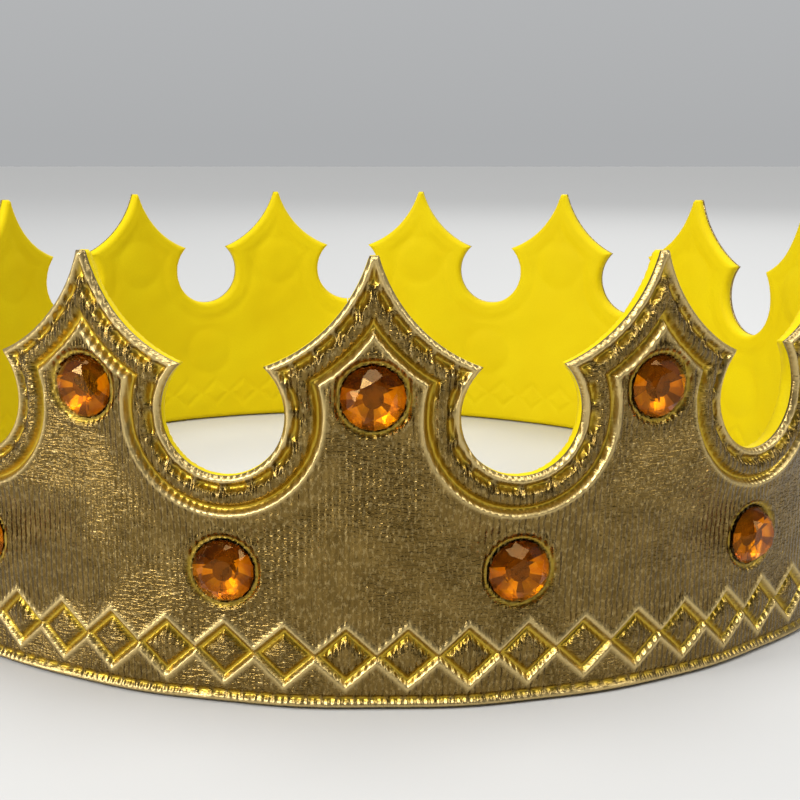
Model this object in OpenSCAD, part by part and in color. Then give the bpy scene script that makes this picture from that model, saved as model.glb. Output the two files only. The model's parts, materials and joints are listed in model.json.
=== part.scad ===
// Soft dress-up crown: a foam ring with a gold cloth face and amber stones, closed at the back
// by a hook-and-loop strap. The one long sheet is divided at its flex lines, one beside each gap,
// so that the ring can be opened out flat.
// +Z is up and the front prong faces -Y. The origin is under the middle of the crown, on the
// surface it stands on. Angles run from the front prong, positive towards +X.

/* [Ring] */
// Length around the outside of the gold cloth
band_girth = 600; // [500:5:720]
// Prongs on each side of the front prong
prongs_per_side = 7; // [6:1:8]
// Thickness of the foam sheet
foam_t = 2.6; // [2:0.1:3.6]
// Thickness of the gold cloth
cover_t = 0.4; // [0.2:0.05:0.6]
// Thickness of the glue between layers
glue_t = 0.05; // [0.02:0.01:0.1]
// Height of the band below the gaps
band_h = 31.8; // [26:0.1:40]
// Slit left at each flex line
flex_slit = 0.3; // [0.2:0.05:0.6]

/* [Prongs] */
// Height of the prong tips
crown_h = 61; // [50:0.1:80]
// Width of the blunt tip of a prong
tip_w = 1.2; // [1:0.1:3]
// Radius of the round bottom of each gap
gap_r = 8.5; // [7:0.1:10.2]
// Height of the shoulder points above the middle of the round gap
shoulder_rise = 6.3; // [4.6:0.1:6.6]
// How far the edge between shoulder and tip hollows inwards
edge_hollow = 2.4; // [0.6:0.1:3]

/* [Stones] */
// Diameter of a stone
stone_d = 8.6; // [6:0.1:10.4]
// Height of a stone from its flat back to its table
stone_h = 3; // [2:0.1:4]
// Diameter of the flat table on top of a stone
table_d = 4.8; // [3:0.1:5.4]
// Thickness of the rim around the back of a stone
girdle_t = 0.8; // [0.4:0.1:1.4]
// Depth of the socket that a stone is glued into
socket_depth = 0.9; // [0.7:0.1:1.2]
// Clearance around a stone in its socket
socket_gap = 0.1; // [0.05:0.05:0.3]
// Height of the prong stones above the middle of the round gaps
prong_stone_rise = 2.5; // [0:0.1:5]
// Distance of the band stones below the bottom of the gaps
band_stone_drop = 13.0; // [9:0.1:17]

/* [Closure strap] */
// Height of the strap
strap_w = 26; // [20:0.5:28]
// Height of the strap's lower edge
strap_z = 3; // [2:0.1:5]
// Reach of the loose flap past the joint in the ring
flap_reach = 26; // [22:0.5:32]
// Length of the foot that is sewn to the ring
foot_l = 11; // [8:0.5:14]
// Thickness of the strap's foam
strap_foam_t = 1.8; // [1.2:0.1:2.4]
// Corner radius of the flap
flap_corner_r = 5; // [3:0.5:8]
// Thickness of the hook tape and of the loop tape
tape_t = 0.7; // [0.5:0.1:1]
// Length of each tape around the ring
tape_l = 18; // [14:0.5:19]
// Height of each tape
tape_w = 20; // [14:0.5:20]
// Gap between the closed tapes
tape_gap = 0.1; // [0.05:0.05:0.3]
// Length of one stitch
stitch_l = 2.6; // [2:0.1:3.4]
// Distance from one stitch to the next
stitch_pitch = 3.8; // [3.6:0.1:5]
// Width and height of a stitch's thread
thread_t = 0.5; // [0.3:0.05:0.7]

/* [Hidden] */
gold = [0.80, 0.64, 0.27];
foam_yellow = [0.98, 0.80, 0.12];
amber = [0.86, 0.47, 0.10];
tape_white = [0.92, 0.91, 0.86];
thread_yellow = [0.88, 0.72, 0.25];

side = prongs_per_side;
prong_count = 2 * side + 1;
pitch_a = 360 / prong_count;
joint_a = 180;

// Radii of the ring and of the layers of the strap
ring_r = band_girth / (2 * PI);
cover_r = ring_r - cover_t;
foam_r = cover_r - glue_t;
inner_r = foam_r - foam_t;
glued_r = ring_r + glue_t;
hook_r = glued_r + tape_t + tape_gap;
flap_r = hook_r + tape_t + glue_t;
flap_foam_r = flap_r + strap_foam_t;
flap_cover_r = flap_foam_r + glue_t;
strap_r = flap_cover_r + cover_t;
foot_foam_r = glued_r + strap_foam_t;
foot_cover_r = foot_foam_r + glue_t;
foot_r = foot_cover_r + cover_t;

// The strap stands out at the back, so the ring sits a little forward of the origin
ring_y = -(strap_r - ring_r) / 2;

// Outline of a gap, in the upright plane that faces it
gap_z = band_h + gap_r;
shoulder_x = sqrt(gap_r * gap_r - shoulder_rise * shoulder_rise);
shoulder_z = gap_z + shoulder_rise;
tip_x = ring_r * sin(pitch_a / 2) - tip_w / 2;
edge_run = tip_x - shoulder_x;
edge_climb = crown_h - shoulder_z;
edge_chord = norm([edge_run, edge_climb]);
edge_r = edge_chord * edge_chord / (8 * edge_hollow) + edge_hollow / 2;
edge_back = (edge_r - edge_hollow) / edge_chord;
edge_x = (tip_x + shoulder_x) / 2 - edge_climb * edge_back;
edge_z = (crown_h + shoulder_z) / 2 + edge_run * edge_back;

// A flex line runs just inside the widest part of its gap, clear of the band stone
flex_x = gap_r - 0.4;
flex_a = asin(flex_x / ring_r);

// Strap positions, as distances along the ring from the joint
riser_l = 3;
riser_x = -flex_x - riser_l;
foot_x = riser_x - foot_l;
foot_end = -flex_x - flex_slit / 2;
tape_x = flap_reach - 3 - tape_l;
tape_z = strap_z + (strap_w - tape_w) / 2;
stitch_inset = 2.4;
stitch_count = floor((strap_w - 2 * stitch_inset - stitch_l) / stitch_pitch) + 1;
stitch_span = (stitch_count - 1) * stitch_pitch;

prong_stone_z = gap_z + prong_stone_rise;
band_stone_z = band_h - band_stone_drop;

// How far the shapes that cut the ring reach inside and outside it
cut_over = 5;

$fn = 180;

SECTIONS = [for (k = [-side:side]) k];

// Section 0 is the front one; numbers go up round the +X side and on round the back
function section_number(k) = k < 0 ? k + prong_count : k;
function section_name(piece, k) =
    str(piece, "_", section_number(k) < 10 ? "0" : "", section_number(k));

// Angle taken up by a distance along the outside of the ring
function arc_a(x) = x / ring_r * 180 / PI;

// Middles of the gaps whose band stones sit on section k
function stone_gaps(k) = k == 0 ? [-0.5, 0.5] : k == side ? [] : [k + 0.5];

// Turns an outline to face outwards at angle a, and thickens it from radius r0 to r1
module facing(a, r0, r1)
    rotate([0, 0, a]) translate([0, -r0, 0]) rotate([90, 0, 0])
        linear_extrude(height = r1 - r0) children();

// A curved wall from angle a0 to a1, radius r0 to r1 and height z0 to z1
module wall(a0, a1, r0, r1, z0, z1)
    rotate([0, 0, a0 - 90]) rotate_extrude(angle = a1 - a0)
        translate([r0, z0]) square([r1 - r0, z1 - z0]);

// The opening between two prongs: a round bottom that flares to the tips
module gap_outline() {
    translate([0, gap_z]) circle(gap_r);
    intersection() {
        translate([edge_x, edge_z]) circle(edge_r);
        translate([-edge_x, edge_z]) circle(edge_r);
    }
}

// What is cut from a section at the gap on its front side: the gap, and the band up to the flex line
module front_cut() {
    gap_outline();
    translate([-cut_over, -cut_over])
        square([cut_over + flex_x + flex_slit / 2, gap_z + cut_over]);
}

// What is cut from it at the next gap: the gap, the next prong, and the band past the flex line
module back_cut() {
    gap_outline();
    translate([flex_x - flex_slit / 2, -cut_over]) square([2 * gap_r, gap_z + 2 * cut_over]);
    translate([0, gap_z]) square([3 * gap_r, crown_h]);
}

// What is cut from the last section where the ring's two ends meet
module end_cut() {
    gap_outline();
    translate([-flex_slit / 2, -cut_over]) square([3 * gap_r, crown_h + 2 * cut_over]);
}

module stone() {
    r = stone_d / 2;
    rotate_extrude()
        polygon([[0, 0], [r, 0], [r, girdle_t], [table_d / 2, stone_h], [0, stone_h]]);
}

// Puts a stone, or whatever else is given, into a socket in the surface of radius r
module at_socket(a, z, r)
    rotate([0, 0, a]) translate([0, -(r - socket_depth), z]) rotate([90, 0, 0]) children();

module socket()
    cylinder(h = socket_depth + cut_over, r = stone_d / 2 + socket_gap);

module each_stone_place(k) {
    at_socket(k * pitch_a, prong_stone_z, ring_r) children();
    for (g = stone_gaps(k)) at_socket(g * pitch_a, band_stone_z, ring_r) children();
}

// Turns a cut to the gap at g pitches from the front, right through the ring
module cut_at(g) facing(g * pitch_a, inner_r - cut_over, ring_r + cut_over) children();

// One layer of section k of the ring, from radius r0 to r1
module section(k, r0, r1)
    difference() {
        if (k == 0) wall(-pitch_a, pitch_a, r0, r1, 0, crown_h);
        else wall((k - 0.5) * pitch_a, (k + 1) * pitch_a, r0, r1, 0, crown_h);
        if (k == 0) cut_at(-0.5) mirror([1, 0]) back_cut();
        else cut_at(k - 0.5) front_cut();
        if (k == side) cut_at(k + 0.5) end_cut();
        else cut_at(k + 0.5) back_cut();
        each_stone_place(k) socket();
    }

// Sections with a negative number mirror those on the +X side
module on_its_side(k)
    if (k < 0) mirror([1, 0, 0]) children();
    else children();

module gold_cover(k) color(gold) on_its_side(k) section(abs(k), cover_r, ring_r);

module foam_wall(k) color(foam_yellow) on_its_side(k) section(abs(k), inner_r, foam_r);

module stones(k) color(amber) on_its_side(k) each_stone_place(abs(k)) stone();

// Part of the strap, from distance x0 to x1 along the ring past the joint
module strap_wall(x0, x1, r0, r1, over = 0)
    wall(joint_a + arc_a(x0), joint_a + arc_a(x1), r0, r1,
         strap_z - over, strap_z + strap_w + over);

module flap_outline() {
    c = flap_corner_r;
    translate([-flap_reach, strap_z]) square([2 * flap_reach - c, strap_w]);
    translate([-flap_reach, strap_z + c]) square([2 * flap_reach, strap_w - 2 * c]);
    for (z = [strap_z + c, strap_z + strap_w - c])
        translate([flap_reach - c, z]) circle(c);
}

// One layer of the loose flap, with its stone's socket
module flap(r0, r1)
    difference() {
        intersection() {
            strap_wall(flex_slit / 2 - flex_x, flap_reach + cut_over, r0, r1, over = cut_over);
            facing(joint_a, r0 - cut_over, r1 + cut_over) flap_outline();
        }
        at_socket(joint_a, band_stone_z, strap_r) socket();
    }

// The foot lies on the ring and steps up beside the tapes, to the height of the flap
module strap_foot_foam() color(foam_yellow) difference() {
    strap_wall(foot_x, foot_end, glued_r, flap_foam_r);
    strap_wall(foot_x - cut_over, riser_x, foot_foam_r, strap_r, over = 1);
}

module strap_foot_cover() color(gold) difference() {
    strap_wall(foot_x, foot_end, foot_cover_r, strap_r);
    strap_wall(riser_x, foot_end + cut_over, ring_r, flap_cover_r, over = 1);
    strap_wall(foot_x - cut_over, riser_x - cover_t, foot_r, strap_r + 1, over = 1);
}

module strap_flap_foam() color(foam_yellow) flap(flap_r, flap_foam_r);

module strap_flap_cover() color(gold) flap(flap_cover_r, strap_r);

module strap_stone() color(amber) at_socket(joint_a, band_stone_z, strap_r) stone();

module tape(r)
    wall(joint_a + arc_a(tape_x), joint_a + arc_a(tape_x + tape_l), r, r + tape_t,
         tape_z, tape_z + tape_w);

module hook_tape() color(tape_white) tape(hook_r);

module loop_tape() color(tape_white) tape(glued_r);

// Two rows of stitches hold the foot of the strap to the ring
module strap_stitches() color(thread_yellow)
    for (x = [foot_x + stitch_inset, riser_x - stitch_inset], i = [0:stitch_count - 1])
        rotate([0, 0, joint_a + arc_a(x)])
            translate([-thread_t / 2, -foot_r - thread_t,
                       strap_z + (strap_w - stitch_span - stitch_l) / 2 + i * stitch_pitch])
                cube([thread_t, thread_t, stitch_l]);

translate([0, ring_y, 0]) {
    for (k = SECTIONS) {
        gold_cover(k);
        foam_wall(k);
        stones(k);
    }
    strap_foot_foam();
    strap_foot_cover();
    strap_flap_foam();
    strap_flap_cover();
    strap_stone();
    hook_tape();
    loop_tape();
    strap_stitches();
}
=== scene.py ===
"""The looks of a soft dress-up crown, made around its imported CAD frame.

The band is worked out flat: u runs round the ring from the front prong, z is the height, and d stands
outwards from the gold cloth's outer face, all in millimetres. wrap() bends that flat band into the ring.
The cloth and the foam are cut at the middle of each prong, so that every piece crosses one flex line.
"""

import json
import math

import bpy
import numpy as np
from mathutils import Matrix, Vector


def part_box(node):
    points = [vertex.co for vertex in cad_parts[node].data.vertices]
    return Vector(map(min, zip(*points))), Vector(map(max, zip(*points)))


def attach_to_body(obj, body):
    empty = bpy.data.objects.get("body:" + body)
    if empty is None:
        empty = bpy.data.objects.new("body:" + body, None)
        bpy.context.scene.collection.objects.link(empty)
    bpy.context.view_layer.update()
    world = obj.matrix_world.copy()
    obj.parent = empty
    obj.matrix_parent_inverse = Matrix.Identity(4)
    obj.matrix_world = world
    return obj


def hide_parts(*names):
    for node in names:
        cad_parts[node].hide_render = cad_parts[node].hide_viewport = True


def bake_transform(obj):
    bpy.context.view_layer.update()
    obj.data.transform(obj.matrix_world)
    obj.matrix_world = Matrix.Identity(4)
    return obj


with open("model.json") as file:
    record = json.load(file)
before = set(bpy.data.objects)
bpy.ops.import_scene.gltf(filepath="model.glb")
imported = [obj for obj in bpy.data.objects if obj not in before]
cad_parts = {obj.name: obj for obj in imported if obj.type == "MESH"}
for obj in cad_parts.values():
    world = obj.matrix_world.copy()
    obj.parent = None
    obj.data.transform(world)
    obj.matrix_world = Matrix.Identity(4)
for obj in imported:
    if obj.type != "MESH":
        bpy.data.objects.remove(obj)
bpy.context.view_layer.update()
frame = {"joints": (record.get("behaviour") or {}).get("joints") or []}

MM = 0.001

# ---------------------------------------------------------------- the ring, from the CAD frame
SIDE_GAPS = 7
PRONGS = 2 * SIDE_GAPS + 1
PITCH_A = 2 * math.pi / PRONGS
HINGES = {j["name"]: Vector(j["pos_m"]) / MM for j in frame["joints"]}
RING_R = (HINGES["flex_02"] - HINGES["flex_01"]).length / (2 * math.sin(PITCH_A / 2))
HINGE_A = math.asin(HINGES["flex_01"].x / RING_R)
RING_Y = HINGES["flex_01"].y + RING_R * math.cos(HINGE_A)
PITCH = RING_R * PITCH_A
FLEX_U = RING_R * (HINGE_A - PITCH_A / 2)
PEEL_X = -RING_R * math.atan2(HINGES["strap_peel"].x, HINGES["strap_peel"].y - RING_Y)
CROWN_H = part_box("gold_cover_00")[1].z / MM

# ---------------------------------------------------------------- sizes of the layers and the outline
COVER_T = 0.4
GLUE_T = 0.05
FOAM_T = 2.6
BAND_H = 31.8
GAP_R = 8.5
GAP_Z = BAND_H + GAP_R
SHOULDER_RISE = 6.3
EDGE_HOLLOW = 2.4
TIP_W = 1.2
END_SLIT = 0.15

STONE_R = 4.3
STONE_H = 3.0
TABLE_R = 2.4
STAR_R = 3.35
GIRDLE_T = 0.8
BACK_R = 1.4
SOCKET_DEPTH = 0.9
PRONG_STONE_Z = GAP_Z + 2.5
BAND_STONE_Z = BAND_H - 13.0

# The strap at the back, with distances along the ring past the joint between its two ends
JOINT_U = math.pi * RING_R
STRAP_Z = 3.0
STRAP_W = 26.0
STRAP_MID_Z = STRAP_Z + STRAP_W / 2
FLAP_REACH = 26.0
FLAP_CORNER = 5.0
FOOT_CORNER = 1.0
RISER_L = 3.0
RISER_X = PEEL_X - RISER_L
FOOT_X = RISER_X - 11.0
STRAP_FOAM_T = 1.8
FOOT_D = 2 * GLUE_T + STRAP_FOAM_T + COVER_T
FLAP_D = 3.85
TAPE_X = 5.0
TAPE_L = 18.0
TAPE_W = 20.0
TAPE_T = 0.7
TAPE_BASE = 0.35
HOOK_D = GLUE_T + TAPE_T + 0.1
STITCH_L = 2.6
STITCH_PITCH = 3.8
STITCH_INSET = 2.4
THREAD_R = 0.25
PILE_MARGIN = 0.8

COVER_CELL = 0.3
FOAM_CELL = 0.5
STENCIL = 0.05
SNAP = 0.001


# ---------------------------------------------------------------- the flat band
def wrap(u, z, d):
    """Bends points of the flat band into the ring, in metres."""
    a, r = u / RING_R, RING_R + d
    return np.stack([r * np.sin(a), RING_Y - r * np.cos(a), z + 0 * a], axis=-1) * MM


def wrap_vectors(u, along, up, out):
    """Turns vectors given along, up and out of the flat band at u, as unit vectors in the ring."""
    a = u / RING_R
    v = np.stack([along * np.cos(a) + out * np.sin(a), along * np.sin(a) - out * np.cos(a), up], axis=-1)
    return v / np.linalg.norm(v, axis=-1, keepdims=True)


def point(u, z, d=0.0):
    return Vector(wrap(np.float64(u), np.float64(z), d))


SHOULDER_X = math.sqrt(GAP_R ** 2 - SHOULDER_RISE ** 2)
SHOULDER_Z = GAP_Z + SHOULDER_RISE
TIP_X = RING_R * math.sin(PITCH_A / 2) - TIP_W / 2
EDGE_CHORD = math.hypot(TIP_X - SHOULDER_X, CROWN_H - SHOULDER_Z)
EDGE_R = EDGE_CHORD ** 2 / (8 * EDGE_HOLLOW) + EDGE_HOLLOW / 2
EDGE_BACK = (EDGE_R - EDGE_HOLLOW) / EDGE_CHORD
EDGE_X = (TIP_X + SHOULDER_X) / 2 - (CROWN_H - SHOULDER_Z) * EDGE_BACK
EDGE_Z = (CROWN_H + SHOULDER_Z) / 2 + (TIP_X - SHOULDER_X) * EDGE_BACK


def arc(cx, cz, r, a0, a1, step=0.12):
    a = np.linspace(a0, a1, max(3, int(abs(a1 - a0) * r / step)))
    return np.stack([cx + r * np.cos(a), cz + r * np.sin(a)], axis=-1)


def gap_line():
    """Half of a gap's edge, from the bottom of the round gap to the middle of the next prong's tip."""
    bottom = arc(0, GAP_Z, GAP_R, -math.pi / 2, math.atan2(SHOULDER_RISE, SHOULDER_X))
    start = math.atan2(SHOULDER_Z - EDGE_Z, SHOULDER_X - EDGE_X)
    edge = arc(EDGE_X, EDGE_Z, EDGE_R, start, math.atan2(CROWN_H - EDGE_Z, TIP_X - EDGE_X))
    facing = np.concatenate([bottom, edge[1:]])
    flat = np.stack([RING_R * np.arcsin(facing[:, 0] / RING_R), facing[:, 1]], axis=-1)
    return np.concatenate([flat, [[PITCH / 2, CROWN_H]]])


GAP_LINE = gap_line()


def fold(x):
    """Distance from the middle of the nearest gap: the gaps repeat, and each is its own mirror image."""
    x = np.abs(x)
    return np.where(x > PITCH / 2, PITCH - x, x)


def gap_edge(x, z):
    """Distance into the band from the edge of a gap centred on x = 0, and the length along that edge."""
    x, z = np.broadcast_arrays(fold(np.asarray(x, float)), np.asarray(z, float))
    shape, x, z = x.shape, x.ravel(), z.ravel()
    a, b = GAP_LINE[:-1], GAP_LINE[1:]
    run = b - a
    square = (run ** 2).sum(1)
    length = np.concatenate([[0], np.cumsum(np.sqrt(square))])
    far, along = np.empty(len(x)), np.empty(len(x))
    for i in range(0, len(x), 4000):
        px, pz = x[i:i + 4000, None] - a[:, 0], z[i:i + 4000, None] - a[:, 1]
        t = np.clip((px * run[:, 0] + pz * run[:, 1]) / square, 0, 1)
        away = (px - t * run[:, 0]) ** 2 + (pz - t * run[:, 1]) ** 2
        best = away.argmin(1)
        rows = np.arange(len(best))
        far[i:i + 4000] = np.sqrt(away[rows, best])
        along[i:i + 4000] = length[best] + t[rows, best] * np.sqrt(square[best])
    fx = RING_R * np.sin(x / RING_R)
    lens = ((fx - EDGE_X) ** 2 + (z - EDGE_Z) ** 2 < EDGE_R ** 2) & (z > SHOULDER_Z)
    open_here = lens | (fx ** 2 + (z - GAP_Z) ** 2 < GAP_R ** 2) | (z > CROWN_H)
    return np.where(open_here, -far, far).reshape(shape), along.reshape(shape)


def lines_through(*stops, cell):
    """Grid lines about a cell apart that run through every stop."""
    parts = [np.linspace(a, b, max(2, round((b - a) / cell) + 1))[:-1] for a, b in zip(stops, stops[1:])]
    return np.concatenate([*parts, [stops[-1]]])


def clip_grid(xs, zs, inside):
    """Cuts the cells of a grid along inside == 0. Returns the x and z of the points left, and the faces."""
    gx, gz = np.meshgrid(xs, zs)
    field = inside(gx, gz)
    field[np.abs(field) < SNAP] = 0
    index = np.arange(gx.size).reshape(gx.shape)
    points = [np.stack([gx.ravel(), gz.ravel()], axis=-1)]
    corners = [index[:-1, :-1], index[:-1, 1:], index[1:, 1:], index[1:, :-1]]
    corners = np.stack(corners, axis=-1).reshape(-1, 4)
    flat = field.ravel()
    kept = (flat[corners] >= 0).sum(1)
    faces = [tuple(c) for c in corners[kept == 4].tolist()]
    made, extra = {}, []
    for cell in corners[(kept > 0) & (kept < 4)].tolist():
        ring = []
        for p, q in zip(cell, cell[1:] + cell[:1]):
            if flat[p] >= 0:
                ring.append(p)
            if (flat[p] > 0 and flat[q] < 0) or (flat[p] < 0 and flat[q] > 0):
                key = (min(p, q), max(p, q))
                if key not in made:
                    t = flat[key[0]] / (flat[key[0]] - flat[key[1]])
                    made[key] = gx.size + len(extra)
                    extra.append(points[0][key[0]] * (1 - t) + points[0][key[1]] * t)
                ring.append(made[key])
        if len(set(ring)) > 2:
            faces.append(tuple(dict.fromkeys(ring)))
    if extra:
        points.append(np.array(extra))
    return tidy_points(np.concatenate(points), faces)


def tidy_points(points, faces):
    """Drops the points that no face uses."""
    used = np.unique(np.concatenate([np.array(f) for f in faces]))
    place = np.full(len(points), -1)
    place[used] = np.arange(len(used))
    return points[used, 0], points[used, 1], [tuple(place[list(f)].tolist()) for f in faces]


def border(faces):
    """The edges that only one face uses, in that face's direction."""
    count = {}
    for f in faces:
        for e in zip(f, f[1:] + f[:1]):
            count[e] = 1
    return [e for e in count if (e[1], e[0]) not in count]


def flat_area(x, z, faces):
    """Area of the flat faces, in square metres."""
    total = 0.0
    for f in faces:
        i = list(f)
        total += 0.5 * (x[i] * np.roll(z[i], -1) - z[i] * np.roll(x[i], -1)).sum()
    return total * MM * MM


class Patch:
    """A piece cut from a flat sheet, with its points and four neighbours of each for the slopes."""

    def __init__(self, xs, zs, inside, edge):
        self.x, self.z, self.faces = clip_grid(xs, zs, inside)
        self.rim = border(self.faces)
        self.area = flat_area(self.x, self.z, self.faces)
        step = STENCIL * np.array([[0, 0], [1, 0], [-1, 0], [0, 1], [0, -1]])
        self.sx, self.sz = self.x + step[:, :1], self.z + step[:, 1:]
        self.far, self.along = edge(self.sx, self.sz)


def slopes(h):
    return (h[1] - h[2]) / (2 * STENCIL), (h[3] - h[4]) / (2 * STENCIL)


def sheet_mesh(name, patch, u0, outer, inner, marks, material):
    """A closed sheet from a flat patch moved to u0, between the outer and the inner face's heights."""
    u, z = u0 + patch.x, patch.z
    count = len(u)
    far_u, far_z = slopes(np.minimum(patch.far, patch.sz + 0 * patch.far))
    on_rim = np.zeros(count)
    on_rim[np.unique(np.array(patch.rim))] = 1
    on_rim *= np.minimum(patch.far[0], z) < 0.02
    normals = []
    for height, side in ((outer, 1), (inner, -1)):
        du, dz = slopes(height)
        along, up = -du * side - on_rim * far_u, -dz * side - on_rim * far_z
        normals.append(wrap_vectors(u, along, up, side + 0 * u))
    co = np.concatenate([wrap(u, z, outer[0]), wrap(u, z, inner[0])])
    faces = list(patch.faces)
    faces += [tuple(i + count for i in reversed(f)) for f in patch.faces]
    faces += [(b, a, a + count, b + count) for a, b in patch.rim]
    obj = make_mesh(name, co, faces, material)
    keep_cloth_map(obj, np.stack([u, z, marks[0]], axis=-1), marks[1])
    obj.data.normals_split_custom_set_from_vertices(np.concatenate(normals))
    return obj


def make_mesh(name, co, faces, material, smooth=True):
    mesh = bpy.data.meshes.new(name)
    mesh.from_pydata(co, [], faces)
    mesh.polygons.foreach_set("use_smooth", [smooth] * len(faces))
    mesh.materials.append(material)
    mesh.update()
    obj = bpy.data.objects.new(name, mesh)
    bpy.context.scene.collection.objects.link(obj)
    return obj


def keep_cloth_map(obj, cloth, ridge_and_highlight):
    """Keeps each point's place in the flat cloth for the materials, how pressed it is, and how much it lies on a lip
    or ridge, where the gold takes a painted highlight.
    """
    layer = obj.data.attributes.new("cloth", "FLOAT_VECTOR", "POINT")
    layer.data.foreach_set("vector", np.concatenate([cloth, cloth]).astype(np.float32).ravel())
    layer = obj.data.attributes.new("ridge_and_highlight", "FLOAT", "POINT")
    layer.data.foreach_set("value", np.concatenate([ridge_and_highlight, ridge_and_highlight]).astype(np.float32))


# ---------------------------------------------------------------- relief of the pressed cloth
def band_of(t, half, soft):
    """1 within half of t = 0, and 0 outside, with soft sides."""
    return 0.5 * (np.tanh((half + t) / soft) + np.tanh((half - t) / soft))


def hump(t, width):
    return np.exp(-(t / width) ** 2)


def rolled_edge(far):
    """How far the cloth turns down at its edge."""
    return 0.42 * np.exp(-np.maximum(far, 0) / 0.22)


def round_over(t):
    """A quarter round's drop, from 1 at t = 0 to 0 at t = 1."""
    return 1 - np.sqrt(np.maximum(1 - (1 - t) ** 2, 0))


def lip_mark(far):
    """How much each point lies on the pinched lip."""
    return hump(far - 0.5, 0.45)


def ripple(u, z, wave, seed, count=14):
    """Smooth unevenness of about the given wavelength, between about -1 and 1."""
    rng = np.random.RandomState(seed)
    total = 0
    for _ in range(count):
        turn, size, phase = rng.rand(3) * (2 * math.pi, 1, 2 * math.pi)
        k = 2 * math.pi / (wave * (0.7 + 0.8 * size))
        total = total + np.sin(k * (u * math.cos(turn) + z * math.sin(turn)) + phase)
    return total / math.sqrt(count)


DASH_PITCH = 3.4
DASH_HALF = 1.15
HEM_LINE = 1.5
CONTOUR_LINE = 4.35
FOOT_DASH_PITCH = 2.2

# Known fault: the camera fits gave 66 to 70 diamonds round the ring
DIAMONDS = 72
DIAMOND_PITCH = 2 * math.pi * RING_R / DIAMONDS
DIAMOND_START = 0.8
DIAMOND_W = 8.3
DIAMOND_H = 7.5
DIAMOND_Z = 7.3


def dashes(s, pitch, half):
    return band_of((s / pitch % 1 - 0.5) * pitch, half, 0.26)


def diamond_depth(u, z):
    """Distance inside the nearest diamond of the row, negative outside."""
    du = ((u - DIAMOND_START) / DIAMOND_PITCH % 1 - 0.5) * DIAMOND_PITCH
    a, b = DIAMOND_W / 2, DIAMOND_H / 2
    return (1 - np.abs(du) / a - np.abs(z - DIAMOND_Z) / b) * a * b / math.hypot(a, b)


def stone_rings(x, z, stones):
    """Distance to, and angle about, the nearest of the stones' centres."""
    places = [(x - sx, z - sz) for sx, sz in stones]
    far = np.stack([np.hypot(px, pz) for px, pz in places])
    best = far.argmin(0)
    turn = np.stack([np.arctan2(pz, px) for px, pz in places])
    pick = lambda a: np.take_along_axis(a, best[None], 0)[0]
    return pick(far), pick(turn)


GAP_STONES = [(-PITCH / 2, PRONG_STONE_Z), (0, BAND_STONE_Z), (PITCH / 2, PRONG_STONE_Z)]
END_STONES = [(-PITCH / 2, PRONG_STONE_Z), (PITCH / 2, PRONG_STONE_Z)]


def hem_relief(far, along):
    """The pinched lip, the dashed groove and the puffed border that follow an edge, and the groove's mask."""
    dash = dashes(along, DASH_PITCH, DASH_HALF) * band_of(far - HEM_LINE, 0.42, 0.22)
    faint = hump(far - HEM_LINE, 0.55)
    h = 0.26 * hump(far - 0.6, 0.42) - 0.45 * dash - 0.25 * faint + 0.5 * hump(far - 2.9, 0.95)
    return h + 0.16 * hump(far - 2.25, 0.32) * dashes(along, DASH_PITCH, DASH_HALF), dash


def contour_relief(far):
    """The continuous groove inside the border, with the ridge along its inner side."""
    cut = band_of(far - CONTOUR_LINE, 0.45, 0.24)
    ridges = 0.36 * hump(far - CONTOUR_LINE - 0.9, 0.45) + 0.08 * hump(far - CONTOUR_LINE + 0.8, 0.35)
    return ridges + 0.3 * hump(far - CONTOUR_LINE - 2.0, 1.5) - 0.68 * cut, cut


def socket_relief(r, turn):
    """The dip that a stone is glued into, the ring pressed round it, and the cloth's creases about it."""
    dip = band_of(r, STONE_R + 0.06, 0.06)
    ring = band_of(r - STONE_R - 0.5, 0.28, 0.2) * (1 - dip)
    ridge = 0.2 * hump(r - STONE_R - 1.25, 0.45)
    creases = 0.015 * np.sin(17 * turn + 2 * np.sin(3 * turn)) * hump(r - STONE_R - 2.2, 1.1)
    return -(SOCKET_DEPTH + 0.06) * dip - 0.3 * ring + ridge + creases, 0.6 * ring


def diamond_relief(u, z):
    t = diamond_depth(u, z)
    frame_line = band_of(t - 0.35, 0.4, 0.22)
    ridge = hump(t + 0.5, 0.4)
    return 0.26 * ridge - 0.6 * frame_line + 0.3 * np.clip(t - 0.9, 0, 0.9), frame_line, ridge


def under_strap(u, z):
    """1 where the strap lies on the ring and presses it flat, and 0 elsewhere."""
    past = u - math.copysign(1, np.mean(u)) * JOINT_U
    reach, middle = (FLAP_REACH - FOOT_X) / 2, (FLAP_REACH + FOOT_X) / 2
    return band_of(past - middle, reach, 0.6) * band_of(z - STRAP_MID_Z, STRAP_W / 2 + 0.6, 0.4)


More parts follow.
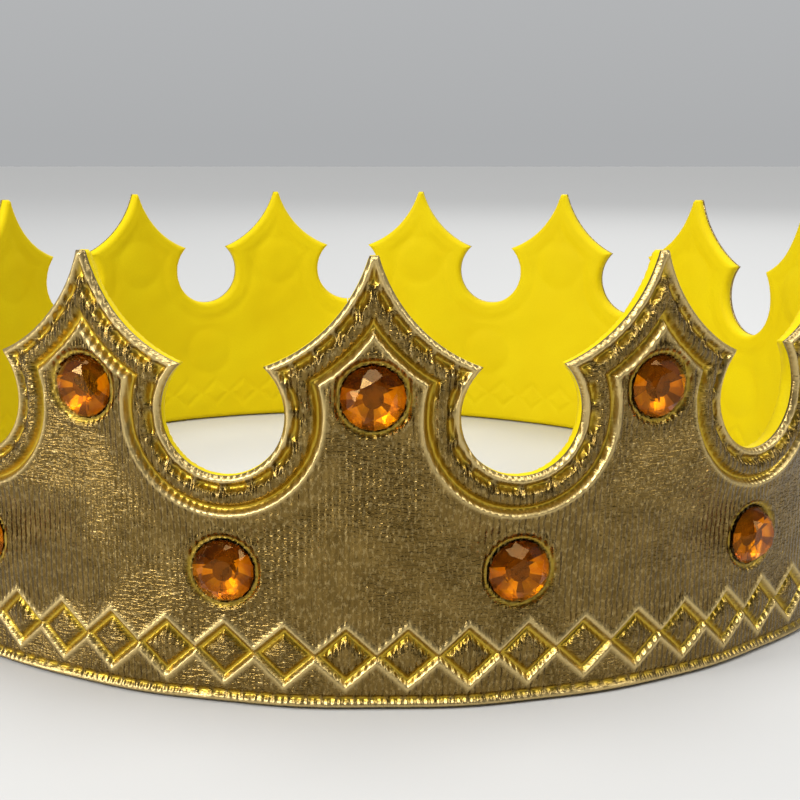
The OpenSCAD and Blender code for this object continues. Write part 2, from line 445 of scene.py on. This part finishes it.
def cover_relief(patch, u0, stones):
    """Heights of the gold cloth's outer face, how pressed each point is, and how much it lies on a lip or ridge, for
    the painted highlight.
    """
    u, x, z, far = u0 + patch.sx, patch.sx, patch.sz, patch.far
    edge = np.minimum(far, z)
    hem, dash = hem_relief(far, patch.along)
    contour, cut = contour_relief(far)
    clear = 1 - band_of(z - 1.0, 2.0, 0.3)
    socket, ring = socket_relief(*stone_rings(x, z, stones))
    diamond, lines, diamond_ridge = diamond_relief(u, z)
    foot = dashes(u, FOOT_DASH_PITCH, 0.75) * band_of(z - 1.45, 0.3, 0.2)
    h = hem + contour + diamond + clear * socket - 0.2 * foot - 0.28 * hump(z - 1.45, 0.45)
    h = h + 0.26 * hump(z - 0.5, 0.4) - rolled_edge(edge)
    h = h + 0.16 * ripple(u, z, 24, 5) + 0.03 * ripple(u, z, 3.0, 8) * band_of(edge - 4, 3.6, 0.5)
    h = h + 0.05 * ripple(u, z, 1.9, 12, 24) * band_of(far - 2.9, 0.8, 0.3)
    h = h - np.maximum(h, 0) * under_strap(u, z)
    pressed = np.maximum.reduce([dash, cut, ring, lines, foot])[0]
    lip, ridge = lip_mark(far)[0], hump(far - CONTOUR_LINE - 0.8, 0.36)[0]
    ridge_and_highlight = np.maximum.reduce([lip, ridge, diamond_ridge[0], hump(z - 0.5, 0.35)[0] + 0 * lip])
    return h, np.clip([pressed, ridge_and_highlight], 0, 1)


def foam_relief(patch, u0, stones):
    """Heights of the foam's inner face, where the pressed cloth shows through softly."""
    u, x, z, far = u0 + patch.sx, patch.sx, patch.sz, patch.far
    edge = np.clip(np.minimum(far, z) / 1.5, 0, 1)
    pinch = 1.25 * round_over(edge)
    r, _ = stone_rings(x, z, stones)
    t = diamond_depth(u, z)
    h = -(COVER_T + GLUE_T + FOAM_T) + pinch
    h = h + 0.17 * hump(far - CONTOUR_LINE, 1.2) + 0.08 * hump(far - HEM_LINE, 0.8)
    h = h - 0.3 * band_of(r, STONE_R - 0.1, 1.3) + 0.12 * hump(r - STONE_R - 1.9, 1.2)
    h = h + 0.13 * hump(t - 0.3, 0.7) - 0.07 * band_of(t - 2.2, 1.2, 0.5)
    return h + 0.12 * ripple(u, z, 20, 5) + 0.035 * ripple(u, z, 6, 9)


# ---------------------------------------------------------------- materials
def new_material(name):
    material = bpy.data.materials.new(name)
    material.use_nodes = True
    return material, material.node_tree.nodes, material.node_tree.links


def cloth_place(nodes, links, stretch=(1, 1, 1)):
    """The place in the flat cloth, scaled."""
    place = nodes.new("ShaderNodeAttribute")
    place.attribute_name = "cloth"
    scale = nodes.new("ShaderNodeVectorMath")
    scale.operation = "MULTIPLY"
    scale.inputs[1].default_value = stretch
    links.new(place.outputs["Vector"], scale.inputs[0])
    return scale.outputs[0]


def math_node(nodes, links, operation, a, b):
    node = nodes.new("ShaderNodeMath")
    node.operation = operation
    for socket, value in zip(node.inputs, (a, b)):
        if isinstance(value, (int, float)):
            socket.default_value = value
        else:
            links.new(value, socket)
    return node.outputs[0]


def noise_node(nodes, links, vector, scale, detail=2.0, rough=0.5):
    node = nodes.new("ShaderNodeTexNoise")
    node.inputs["Scale"].default_value = scale
    node.inputs["Detail"].default_value = detail
    node.inputs["Roughness"].default_value = rough
    links.new(vector, node.inputs["Vector"])
    return node.outputs["Fac"]


def ramp_node(nodes, links, value, stops):
    node = nodes.new("ShaderNodeValToRGB")
    node.color_ramp.elements[0].position = stops[0][0]
    node.color_ramp.elements[0].color = (*stops[0][1], 1)
    node.color_ramp.elements[1].position = stops[-1][0]
    node.color_ramp.elements[1].color = (*stops[-1][1], 1)
    for place, colour in stops[1:-1]:
        node.color_ramp.elements.new(place).color = (*colour, 1)
    links.new(value, node.inputs["Fac"])
    return node.outputs["Color"]


def mix_colours(nodes, links, share, a, b):
    node = nodes.new("ShaderNodeMix")
    node.data_type = "RGBA"
    set_or_link(links, node.inputs[0], share)
    set_or_link(links, node.inputs[6], a)
    set_or_link(links, node.inputs[7], b)
    return node.outputs[2]


def set_or_link(links, socket, value):
    if isinstance(value, tuple):
        socket.default_value = (*value, 1)
    elif isinstance(value, (int, float)):
        socket.default_value = value
    else:
        links.new(value, socket)


def waves(nodes, links, vector, period, distortion):
    node = nodes.new("ShaderNodeTexWave")
    node.inputs["Scale"].default_value = 2 * math.pi / (20 * period)
    node.inputs["Distortion"].default_value = distortion
    node.inputs["Detail"].default_value = 2
    node.inputs["Detail Scale"].default_value = 1.6
    links.new(vector, node.inputs["Vector"])
    return node.outputs["Fac"]


def bump_chain(nodes, links, shader, layers):
    """Bumps on top of each other: (height, strength, depth in metres) each."""
    normal = None
    for height, strength, depth in layers:
        node = nodes.new("ShaderNodeBump")
        set_or_link(links, node.inputs["Strength"], strength)
        node.inputs["Distance"].default_value = depth
        links.new(height, node.inputs["Height"])
        if normal is not None:
            links.new(normal, node.inputs["Normal"])
        normal = node.outputs["Normal"]
    links.new(normal, shader.inputs["Normal"])


def gold_material():
    """Lamé cloth: fine ripples that run across or upright by turns, threads with painted glints, smooth on its lips
    and ridges, where a painted highlight lightens it.
    """
    material, nodes, links = new_material("gold_lame_cloth")
    shader = nodes["Principled BSDF"]
    split = nodes.new("ShaderNodeSeparateXYZ")
    links.new(cloth_place(nodes, links), split.inputs[0])
    ridge_and_highlight = nodes.new("ShaderNodeAttribute")
    ridge_and_highlight.attribute_name = "ridge_and_highlight"
    ridge_and_highlight = ridge_and_highlight.outputs["Fac"]
    flat = cloth_place(nodes, links, (1, 1, 0))
    upright = noise_node(nodes, links, cloth_place(nodes, links, (2.2, 0.5, 0)), 1.0, 2.0)
    across = noise_node(nodes, links, cloth_place(nodes, links, (0.85, 2.8, 0)), 1.0, 2.0)
    ribs = waves(nodes, links, flat, 0.9, 1.8)
    patches = noise_node(nodes, links, flat, 0.05, 1.0)
    turn = ramp_node(nodes, links, patches, [(0.44, (0.1, 0.1, 0.1)), (0.60, (0.95, 0.95, 0.95))])
    ripples = mix_colours(nodes, links, turn, mix_colours(nodes, links, 0.55, upright, ribs), across)
    threads = noise_node(nodes, links, cloth_place(nodes, links, (2.2, 1.1, 0)), 1.0, 3.0, 0.65)
    cloudy = noise_node(nodes, links, flat, 0.3, 4.0)
    body = ramp_node(nodes, links, cloudy, [(0.30, (0.13, 0.080, 0.018)), (0.70, (0.22, 0.140, 0.037))])
    # Painted glints: flecks of the thread noise lighten the base colour, standing in for light sparkling off the
    # threads.
    glint = ramp_node(nodes, links, threads, [(0.50, (0, 0, 0)), (0.80, (0.55, 0.55, 0.55))])
    body = mix_colours(nodes, links, glint, body, (0.66, 0.50, 0.22))
    pressed = math_node(nodes, links, "MULTIPLY", split.outputs["Z"], 0.8)
    body = mix_colours(nodes, links, pressed, body, (0.66, 0.44, 0.03))
    # Painted highlight: the base colour turns pale gold along the lips and ridges, standing in for the light that
    # catches them.
    painted_ridge_highlight = math_node(nodes, links, "MULTIPLY", ridge_and_highlight, 0.65)
    body = mix_colours(nodes, links, painted_ridge_highlight, body, (0.92, 0.70, 0.30))
    links.new(body, shader.inputs["Base Color"])
    shader.inputs["Metallic"].default_value = 0.95
    flattened = math_node(nodes, links, "MAXIMUM", ridge_and_highlight, split.outputs["Z"])
    rough = math_node(nodes, links, "ADD", math_node(nodes, links, "MULTIPLY", threads, 0.18), 0.17)
    matt = math_node(nodes, links, "MULTIPLY", flattened, 0.14)
    links.new(math_node(nodes, links, "ADD", rough, matt), shader.inputs["Roughness"])
    calm = math_node(nodes, links, "SUBTRACT", 1.0, math_node(nodes, links, "MULTIPLY", flattened, 0.85))
    ripple_strength = math_node(nodes, links, "MULTIPLY", calm, 0.85)
    thread_strength = math_node(nodes, links, "MULTIPLY", calm, 0.3)
    layers = [(ripples, ripple_strength, 0.0005), (threads, thread_strength, 0.00013)]
    bump_chain(nodes, links, shader, layers)
    return material


def foam_material():
    """Smooth yellow foam sheet with a fine skin."""
    material, nodes, links = new_material("yellow_foam_sheet")
    shader = nodes["Principled BSDF"]
    flat = cloth_place(nodes, links)
    cells = noise_node(nodes, links, flat, 2.6, 3.0, 0.6)
    cloudy = noise_node(nodes, links, flat, 0.07, 2.0)
    body = ramp_node(nodes, links, cloudy, [(0.3, (0.72, 0.54, 0.0)), (0.7, (0.78, 0.63, 0.002))])
    body = mix_colours(nodes, links, cells, body, (0.69, 0.52, 0.0))
    links.new(body, shader.inputs["Base Color"])
    shader.inputs["Roughness"].default_value = 0.66
    shader.inputs["Specular IOR Level"].default_value = 0.12
    bump_chain(nodes, links, shader, [(cells, 0.25, 0.0001)])
    return material


def acrylic_material():
    """Clear amber acrylic."""
    material, nodes, links = new_material("amber_acrylic")
    shader = nodes["Principled BSDF"]
    where = nodes.new("ShaderNodeTexCoord").outputs["Object"]
    cloudy = noise_node(nodes, links, where, 300.0)
    body = ramp_node(nodes, links, cloudy, [(0.3, (0.84, 0.36, 0.006)), (0.7, (0.90, 0.46, 0.012))])
    links.new(body, shader.inputs["Base Color"])
    shader.inputs["Transmission Weight"].default_value = 1.0
    shader.inputs["Roughness"].default_value = 0.03
    shader.inputs["IOR"].default_value = 1.45
    shader.inputs["Specular Tint"].default_value = (1.0, 0.62, 0.22, 1)
    return material


def foil_material(name, light, dark):
    """Orange foil on a stone's back, seen through it."""
    material, nodes, links = new_material(name)
    shader = nodes["Principled BSDF"]
    where = nodes.new("ShaderNodeTexCoord").outputs["Object"]
    uneven = noise_node(nodes, links, where, 700.0, 3.0)
    links.new(ramp_node(nodes, links, uneven, [(0.38, dark), (0.62, light)]), shader.inputs["Base Color"])
    shader.inputs["Metallic"].default_value = 0.7
    shader.inputs["Roughness"].default_value = 0.25
    return material


def tape_material(name, colour, dark):
    material, nodes, links = new_material(name)
    shader = nodes["Principled BSDF"]
    where = nodes.new("ShaderNodeTexCoord").outputs["Object"]
    fine = noise_node(nodes, links, where, 2500.0, 3.0)
    links.new(ramp_node(nodes, links, fine, [(0.3, dark), (0.7, colour)]), shader.inputs["Base Color"])
    shader.inputs["Roughness"].default_value = 0.7
    shader.inputs["Sheen Weight"].default_value = 0.3
    bump_chain(nodes, links, shader, [(fine, 0.4, 0.0001)])
    return material


def thread_material():
    material, nodes, links = new_material("yellow_thread")
    shader = nodes["Principled BSDF"]
    where = nodes.new("ShaderNodeTexCoord").outputs["Object"]
    twist = noise_node(nodes, links, where, 1800.0, 2.0)
    body = ramp_node(nodes, links, twist, [(0.3, (0.62, 0.40, 0.06)), (0.7, (0.83, 0.60, 0.14))])
    links.new(body, shader.inputs["Base Color"])
    shader.inputs["Roughness"].default_value = 0.55
    shader.inputs["Sheen Weight"].default_value = 0.4
    bump_chain(nodes, links, shader, [(twist, 0.5, 0.0001)])
    return material


GOLD = gold_material()
FOAM = foam_material()
ACRYLIC = acrylic_material()
# Three copies of the stones' foil: a middle tone, a copy with painted light and a copy with painted shade, standing
# in for the reflections seen through the stone.
FOIL = foil_material("orange_foil", (0.48, 0.23, 0.010), (0.32, 0.13, 0.005))
PAINTED_LIGHT_FOIL = foil_material("orange_foil_painted_light", (1.0, 0.62, 0.03), (0.85, 0.40, 0.012))
PAINTED_SHADE_FOIL = foil_material("orange_foil_painted_shade", (0.24, 0.105, 0.006), (0.13, 0.05, 0.003))
TAPE = tape_material("white_tape", (0.83, 0.82, 0.77), (0.68, 0.67, 0.61))
THREAD = thread_material()


# ---------------------------------------------------------------- camera, light and floor
# Distance and height in ring radii, turns in radians
CAMERA_LENS = 57.13
CAMERA_SHIFT = 0.1
CAMERA_FAR = 2.670
CAMERA_UP = 0.7937
CAMERA_YAW = 0.0284
CAMERA_DOWN = 0.2052
CAMERA_ROUND = 0.0240

# In metres
FLOOR_HALF = 3
FLOOR_CLEARANCE = 0.0002


def make_camera():
    """A close view from a little above, turned slightly off the front prong."""
    data = bpy.data.cameras.new("camera")
    camera = bpy.data.objects.new("camera", data)
    bpy.context.scene.collection.objects.link(camera)
    bpy.context.scene.camera = camera
    data.sensor_width = 36
    data.lens = CAMERA_LENS
    data.shift_x = CAMERA_SHIFT
    data.clip_start, data.clip_end = 0.01, 20
    turn = Matrix.Rotation(-CAMERA_ROUND, 4, "Z")
    place = turn @ Vector((0, -CAMERA_FAR * RING_R * MM, 0))
    place += Vector((0, RING_Y * MM, CAMERA_UP * RING_R * MM))
    heading = Matrix.Rotation(CAMERA_YAW - CAMERA_ROUND, 4, "Z")
    tilt = Matrix.Rotation(math.pi / 2 - CAMERA_DOWN, 4, "X")
    camera.matrix_world = Matrix.Translation(place) @ (heading @ tilt)


def softbox(name, place, aim, size, power, colour=(1, 1, 1)):
    data = bpy.data.lights.new(name, "AREA")
    data.shape = "RECTANGLE"
    data.size, data.size_y = size
    data.energy = power
    data.color = colour
    light = bpy.data.objects.new(name, data)
    bpy.context.scene.collection.objects.link(light)
    light.location = place
    light.rotation_euler = (Vector(aim) - Vector(place)).to_track_quat("-Z", "Y").to_euler()


def overhead_light(strength):
    """A broad, even light from above, which lights the whole floor alike."""
    data = bpy.data.lights.new("overhead", "SUN")
    data.energy = strength
    data.angle = 0.7
    light = bpy.data.objects.new("overhead", data)
    bpy.context.scene.collection.objects.link(light)
    light.rotation_euler = (-0.10, 0.05, 0)


def make_studio():
    corners = [(x * FLOOR_HALF, y * FLOOR_HALF, 0) for x, y in ((-1, -1), (1, -1), (1, 1), (-1, 1))]
    floor = make_mesh("floor", corners, [(0, 1, 2, 3)], floor_material())
    floor.location.z = -FLOOR_CLEARANCE
    make_world()
    softbox("key", (-0.55, -0.70, 0.80), (0, 0, 0.03), (0.40, 0.30), 9.0)
    softbox("left_strip", (-0.75, -0.40, 0.30), (0, 0, 0.03), (0.14, 0.50), 3.0)
    softbox("right_strip", (0.70, -0.50, 0.35), (0, 0, 0.03), (0.10, 0.50), 0.8)
    softbox("fill", (0.75, -0.25, 0.75), (0, 0, 0.03), (0.35, 0.35), 2.8)
    softbox("back", (0.30, 0.85, 0.60), (0, 0, 0.03), (0.40, 0.30), 2.0)
    overhead_light(1.9)


def make_world():
    """A pale studio wall behind the crown, and a dimmer room in front of it."""
    world = bpy.data.worlds.new("world")
    bpy.context.scene.world = world
    world.use_nodes = True
    nodes, links = world.node_tree.nodes, world.node_tree.links
    split = nodes.new("ShaderNodeSeparateXYZ")
    links.new(nodes.new("ShaderNodeTexCoord").outputs["Generated"], split.inputs[0])
    dim, pale = (0.10, 0.10, 0.104), (0.56, 0.57, 0.58)
    wall = ramp_node(nodes, links, split.outputs["Y"], [(0.0, dim), (0.6, pale)])
    height = ramp_node(nodes, links, split.outputs["Z"], [(0.0, (0.75, 0.75, 0.75)), (0.45, (1, 1, 1))])
    links.new(mix_colours(nodes, links, height, (0, 0, 0), wall), nodes["Background"].inputs["Color"])


def floor_material():
    material, nodes, links = new_material("pale_floor")
    shader = nodes["Principled BSDF"]
    shader.inputs["Base Color"].default_value = (0.53, 0.53, 0.52, 1)
    shader.inputs["Roughness"].default_value = 0.6
    return material


make_camera()
make_studio()


# ---------------------------------------------------------------- the ring's cloth and foam
def section(k):
    """Body of the section k pitches from the front, positive round the +X side."""
    return "front_section" if k == 0 else f"section_{k % PRONGS:02d}"


def band_patch(x0, x1, cell):
    """The flat band between x0 and x1 from the middle of a gap."""
    stops = [s for s in (-SHOULDER_X, 0, SHOULDER_X) if x0 < s < x1]
    xs = lines_through(x0, *stops, x1, cell=cell)
    zs = lines_through(0, BAND_H, GAP_Z, SHOULDER_Z, CROWN_H, cell=cell)
    return Patch(xs, zs, lambda x, z: gap_edge(x, z)[0], gap_edge)


def band_piece(name, cover, foam, u0, stones, sections, attach):
    """The gold cloth and the foam of one piece of the band, each passed to attach."""
    outer, marks = cover_relief(cover, u0, stones)
    cloth = sheet_mesh(f"gold_cloth_{name}", cover, u0, outer, outer - COVER_T, marks, GOLD)
    outer, marks = cover_relief(foam, u0, stones)
    inner = foam_relief(foam, u0, stones)
    pad = sheet_mesh(f"foam_{name}", foam, u0, outer - COVER_T - GLUE_T, inner, marks, FOAM)
    nodes = [f"{k % PRONGS:02d}" for k in sections]
    for piece, node, slot in ((cloth, "gold_cover", "gold_cloth"), (pad, "foam_wall", "yellow_foam")):
        attach(piece)
        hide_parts(*[f"{node}_{n}" for n in nodes])


FLEX_REACH = 3.5


def make_band():
    cover, foam = (band_patch(-PITCH / 2, PITCH / 2, cell) for cell in (COVER_CELL, FOAM_CELL))
    for k in range(1, SIDE_GAPS + 1):
        for side in (1, -1):
            near, far = side * (k - 1), side * k
            u0 = side * (k - 0.5) * PITCH
            flex = u0 + side * FLEX_U
            start, end = point(flex - side * FLEX_REACH, 0), point(flex + side * FLEX_REACH, 0)

            def across(piece, near=near, far=far, start=start, end=end):
                section(near)
                section(far)
                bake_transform(piece)
                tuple(start)
                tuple(end)

            number = k if side > 0 else PRONGS - k
            band_piece(f"{number:02d}", cover, foam, u0, GAP_STONES, (near, far), across)
    for side in (1, -1):
        ends = sorted((-side * PITCH / 2, -side * END_SLIT))
        cover, foam = (band_patch(*ends, cell) for cell in (COVER_CELL, FOAM_CELL))
        body = section(side * SIDE_GAPS)
        name = "end_" + body[-2:]
        u0 = side * (SIDE_GAPS + 0.5) * PITCH
        band_piece(name, cover, foam, u0, END_STONES, (side * SIDE_GAPS,), lambda piece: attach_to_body(piece, body))


make_band()


# ---------------------------------------------------------------- the stones
def stone_shape():
    """A round brilliant with a foiled back: points (x, y, out), and faces with their materials, the foil painted
    shaded above and lit below.
    """
    ring = lambda count, r, out, turn=0.0: [
        (r * math.cos(2 * math.pi * (i + turn) / count), r * math.sin(2 * math.pi * (i + turn) / count), out)
        for i in range(count)]
    drop = (STONE_H - GIRDLE_T) / (STONE_R - TABLE_R)
    middle = STONE_H - (STAR_R * math.cos(math.pi / 8) - TABLE_R) * drop
    points = ring(8, TABLE_R, STONE_H) + ring(8, STAR_R, middle, 0.5)
    points += ring(16, STONE_R, GIRDLE_T) + ring(16, BACK_R, 0.0)
    table, mid, girdle, back = 0, 8, 16, 32
    faces = [tuple(range(8))]
    for i in range(8):
        j, g = (i + 1) % 8, girdle + 2 * i
        following = girdle + (2 * i + 2) % 16
        faces.append((table + j, table + i, mid + i))
        faces.append((table + i, mid + (i - 1) % 8, g, mid + i))
        faces.append((mid + i, g, g + 1))
        faces.append((mid + i, g + 1, following))
    faces = [(f, ACRYLIC) for f in faces]
    for i in range(16):
        j = (i + 1) % 16
        # Painted light and shade: the upper back facets get the shaded foil, the lower ones the lit foil and the
        # middle tone by turns, and the flat back gets the shaded foil.
        tone = PAINTED_SHADE_FOIL if 0 < i < 7 else FOIL if i % 3 == 2 else PAINTED_LIGHT_FOIL
        faces.append(((girdle + j, girdle + i, back + i, back + j), tone))
    faces.append((tuple(range(back + 15, back - 1, -1)), PAINTED_SHADE_FOIL))
    return np.array(points), faces


def make_stones(name, places, body, node, lift=0.0):
    """The stones at (u, z, turn) each, seated in their sockets, as one piece."""
    shape, facets = stone_shape()
    points, faces = [], []
    for u, z, turn in places:
        c, s = math.cos(turn), math.sin(turn)
        x, y = shape[:, 0] * c - shape[:, 1] * s, shape[:, 0] * s + shape[:, 1] * c
        a = u / RING_R
        along, out = np.array([math.cos(a), math.sin(a), 0]), np.array([math.sin(a), -math.cos(a), 0])
        seat = np.array(point(u, z, lift - SOCKET_DEPTH))
        base = len(points) * len(shape)
        points.append(seat + MM * (x[:, None] * along + y[:, None] * [0, 0, 1] + shape[:, 2:] * out))
        faces += [tuple(i + base for i in f) for f, _ in facets]
    obj = make_mesh(name, np.concatenate(points), faces, ACRYLIC, smooth=False)
    kinds = [ACRYLIC, FOIL, PAINTED_LIGHT_FOIL, PAINTED_SHADE_FOIL]
    for kind in kinds[1:]:
        obj.data.materials.append(kind)
    obj.data.polygons.foreach_set("material_index", [kinds.index(kind) for _, kind in facets] * len(places))
    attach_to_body(obj, body)
    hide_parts(node)


def all_stones():
    rng = np.random.RandomState(3)
    for k in range(-SIDE_GAPS, SIDE_GAPS + 1):
        places = [(k * PITCH, PRONG_STONE_Z)]
        if k == 0:
            places += [(-PITCH / 2, BAND_STONE_Z), (PITCH / 2, BAND_STONE_Z)]
        elif abs(k) < SIDE_GAPS:
            places += [((k + math.copysign(0.5, k)) * PITCH, BAND_STONE_Z)]
        number = f"{k % PRONGS:02d}"
        places = [(u, z, 0.5 * rng.rand() - 0.1) for u, z in places]
        make_stones(f"amber_stones_{number}", places, section(k), f"stones_{number}")


all_stones()


# ---------------------------------------------------------------- the strap
def rounded(x0, x1, z0, z1, left_corner, right_corner):
    """Returns the edge function of a rectangle with rounded corners."""
    def edge(x, z):
        x, z = np.broadcast_arrays(np.asarray(x, float), np.asarray(z, float))
        right = x > (x0 + x1) / 2
        corner = np.where(right, right_corner, left_corner)
        qx = np.where(right, x - x1, x0 - x) + corner
        qz = np.abs(z - (z0 + z1) / 2) - (z1 - z0) / 2 + corner
        away = np.hypot(np.maximum(qx, 0), np.maximum(qz, 0)) + np.minimum(np.maximum(qx, qz), 0) - corner
        turning = (qx > 0) & (qz > 0)
        along = np.where(turning, np.arctan2(qz, qx) * corner, np.where(qx > qz, z, x))
        return -away, along
    return edge


def flat_patch(x0, x1, z0, z1, corners, stops, cell):
    edge = rounded(x0, x1, z0, z1, *corners)
    xs, zs = lines_through(x0, *stops, x1, cell=cell), lines_through(z0, z1, cell=cell)
    return Patch(xs, zs, lambda x, z: edge(x, z)[0], edge)


def rise(x, start, length):
    t = np.clip((x - start) / length, 0, 1)
    return t * t * (3 - 2 * t)


STITCH_LINES = (FOOT_X + STITCH_INSET, RISER_X - STITCH_INSET)


def strap_top(x):
    return FOOT_D + (FLAP_D - FOOT_D) * rise(x, RISER_X, RISER_L)


def strap_relief(patch):
    """Heights of the strap cloth's outer face, how pressed each point is, and how much it lies on the lip, for the
    painted highlight.
    """
    x, z, far = patch.sx, patch.sz, patch.far
    hem, dash = hem_relief(far, patch.along)
    ring, pressed = socket_relief(*stone_rings(x, z, [(0, BAND_STONE_Z)]))
    h = strap_top(x) + hem + ring - rolled_edge(far)
    for line in STITCH_LINES:
        h = h - 0.22 * hump(x - line, 0.6) * band_of(z - STRAP_MID_Z, STRAP_W / 2 - 3, 1.0)
    h = h + 0.1 * ripple(x, z, 18, 6) + 0.03 * ripple(x, z, 3.0, 8) * band_of(far - 4, 1.8, 0.5)
    return h, np.clip([np.maximum(dash, pressed)[0], lip_mark(far)[0]], 0, 1)


def strap_foam_relief(patch):
    """Heights of the strap foam's inner face, on the ring at the foot and on the tape at the flap."""
    edge = np.clip(patch.far / 1.2, 0, 1)
    pinch = 0.6 * round_over(edge)
    flap_d = FLAP_D - COVER_T - GLUE_T - STRAP_FOAM_T
    under = GLUE_T + (flap_d - GLUE_T) * rise(patch.sx, PEEL_X - 1.6, 2.4)
    return under + pinch + 0.02 * ripple(patch.sx, patch.sz, 8, 9)


def peel(piece):
    """Bakes the placement of a piece that lies between the end of the ring and the loose flap."""
    start, end = point(JOINT_U + PEEL_X - FLEX_REACH, 0), point(JOINT_U + PEEL_X + FLEX_REACH, 0)
    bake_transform(piece)
    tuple(start)
    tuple(end)


def make_strap():
    size = (FOOT_X, FLAP_REACH, STRAP_Z, STRAP_Z + STRAP_W)
    corners, stops = (FOOT_CORNER, FLAP_CORNER), (RISER_X, PEEL_X, 0)
    cover, foam = (flat_patch(*size, corners, stops, cell) for cell in (COVER_CELL, FOAM_CELL))
    outer, marks = strap_relief(cover)
    cloth = sheet_mesh("gold_cloth_strap", cover, JOINT_U, outer, outer - COVER_T, marks, GOLD)
    outer, marks = strap_relief(foam)
    inner = strap_foam_relief(foam)
    pad = sheet_mesh("foam_strap", foam, JOINT_U, outer - COVER_T - GLUE_T, inner, marks, FOAM)
    for piece, kind, slot in ((cloth, "cover", "gold_cloth"), (pad, "foam", "yellow_foam")):
        peel(piece)
        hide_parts(f"strap_foot_{kind}", f"strap_flap_{kind}")
    make_stones("amber_stone_strap", [(JOINT_U, BAND_STONE_Z, 0.2)], "strap_flap", "strap_stone", lift=FLAP_D)


def tube(path, radius, sides):
    """A tube along a path (along, up, out) that keeps to one upright plane, as points and faces."""
    path = np.array(path, float)
    run = np.gradient(path, axis=0)
    run /= np.linalg.norm(run, axis=1, keepdims=True)
    flank = np.array([0.0, 1.0, 0.0]) if np.ptp(path[:, 1]) == 0 else np.array([1.0, 0.0, 0.0])
    turn = np.linspace(0, 2 * math.pi, sides, endpoint=False)
    if callable(radius):
        radius = radius(np.arange(len(path))[:, None], turn[None])
    radius = np.broadcast_to(radius, (len(path), sides))
    lift = np.cross(run, flank)
    points = path[:, None] + radius[..., None] * (
        np.cos(turn)[None, :, None] * lift[:, None] + np.sin(turn)[None, :, None] * flank)
    faces = []
    for i in range(len(path) - 1):
        for j in range(sides):
            a, b = i * sides + j, i * sides + (j + 1) % sides
            faces.append((a, b, b + sides, a + sides))
    last = (len(path) - 1) * sides
    return points.reshape(-1, 3), faces + [tuple(reversed(range(sides))), tuple(range(last, last + sides))]


def scatter(name, shape, places, d0, outwards, material):
    """Copies of a small shape at (x past the joint, z, turn) each, standing on height d0, as one piece."""
    points, faces = shape
    co, all_faces = [], []
    for n, (x, z, turn) in enumerate(places):
        c, s = math.cos(turn), math.sin(turn)
        along, up = points[:, 0] * c - points[:, 1] * s, points[:, 0] * s + points[:, 1] * c
        co.append(wrap(JOINT_U + x + along, z + up, d0 + outwards * points[:, 2]))
        step = n * len(points)
        all_faces += [tuple(i + step for i in (f if outwards > 0 else f[::-1])) for f in faces]
    return make_mesh(name, np.concatenate(co), all_faces, material)


def tape_places(pitch, rng, turned):
    """A slightly uneven field of places over a tape."""
    low, high = STRAP_MID_Z - TAPE_W / 2 + PILE_MARGIN, STRAP_MID_Z + TAPE_W / 2 - PILE_MARGIN
    for x in np.arange(TAPE_X + PILE_MARGIN, TAPE_X + TAPE_L - PILE_MARGIN, pitch):
        for z in np.arange(low, high, pitch):
            dx, dz, turn = rng.rand(3) - 0.5
            yield x + 0.25 * dx * pitch, z + 0.25 * dz * pitch, turned * turn * math.pi


def make_tape(name, node, d0, pile, pitch, outwards, turned, body):
    """One side of the closure: a woven tape, and the hooks or loops that stand on it."""
    z0 = STRAP_MID_Z - TAPE_W / 2
    patch = flat_patch(TAPE_X, TAPE_X + TAPE_L, z0, z0 + TAPE_W, (1.0, 1.0), (), FOAM_CELL)
    woven = 0.03 * np.sin(2 * math.pi * patch.sx / 1.1) * np.sin(2 * math.pi * patch.sz / 1.1)
    low = d0 + 0 * patch.sx if outwards > 0 else d0 + TAPE_T - TAPE_BASE + 0 * patch.sx
    unmarked = np.zeros((2, len(patch.x)))
    base = sheet_mesh(name, patch, JOINT_U, low + TAPE_BASE + woven, low + woven, unmarked, TAPE)
    foot = d0 + TAPE_BASE if outwards > 0 else d0 + TAPE_T - TAPE_BASE
    places = list(tape_places(pitch, np.random.RandomState(11), turned))
    tufts = scatter(name + "_pile", pile, places, foot, outwards, TAPE)
    for piece in (base, tufts):
        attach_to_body(piece, body)
        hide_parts(node)


def make_tapes():
    hook = tube([(0, 0, -0.05), (0, 0, 0.16), (0.04, 0, 0.25), (0.13, 0, 0.29), (0.22, 0, 0.22)], 0.05, 6)
    turn = np.linspace(0, math.pi, 8)
    loop = tube(np.stack([0.3 * np.cos(turn), 0 * turn, 0.33 * np.sin(turn) - 0.03], axis=-1), 0.035, 5)
    make_tape("hook_tape_woven", "hook_tape", HOOK_D, hook, 1.0, -1, 0.2, "strap_flap")
    end = section(-SIDE_GAPS)
    make_tape("loop_tape_woven", "loop_tape", GLUE_T, loop, 0.8, 1, 2.0, end)


def make_stitches():
    """Two rows of two-ply stitches that dive into the cloth at their ends."""
    t = np.linspace(-1, 1, 15)
    path = np.stack([0 * t, t * STITCH_L / 2, 0.22 - 0.45 * t ** 4], axis=-1)
    ply = lambda ring, turn: THREAD_R * (0.86 + 0.16 * np.cos(2 * (turn - 0.55 * ring)))
    count = int((STRAP_W - 2 * STITCH_INSET - STITCH_L) / STITCH_PITCH) + 1
    rows = [STRAP_MID_Z + (i - (count - 1) / 2) * STITCH_PITCH for i in range(count)]
    places = [(x, z, 0.06 * math.sin(7 * z)) for x in STITCH_LINES for z in rows]
    stitches = scatter("strap_stitches_thread", tube(path, ply, 12), places, FOOT_D, 1, THREAD)
    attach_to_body(stitches, section(SIDE_GAPS))
    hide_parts("strap_stitches")


make_strap()
make_tapes()
make_stitches()

# ---------------------------------------------------------------- close
bpy.context.scene.view_settings.view_transform = "Standard"
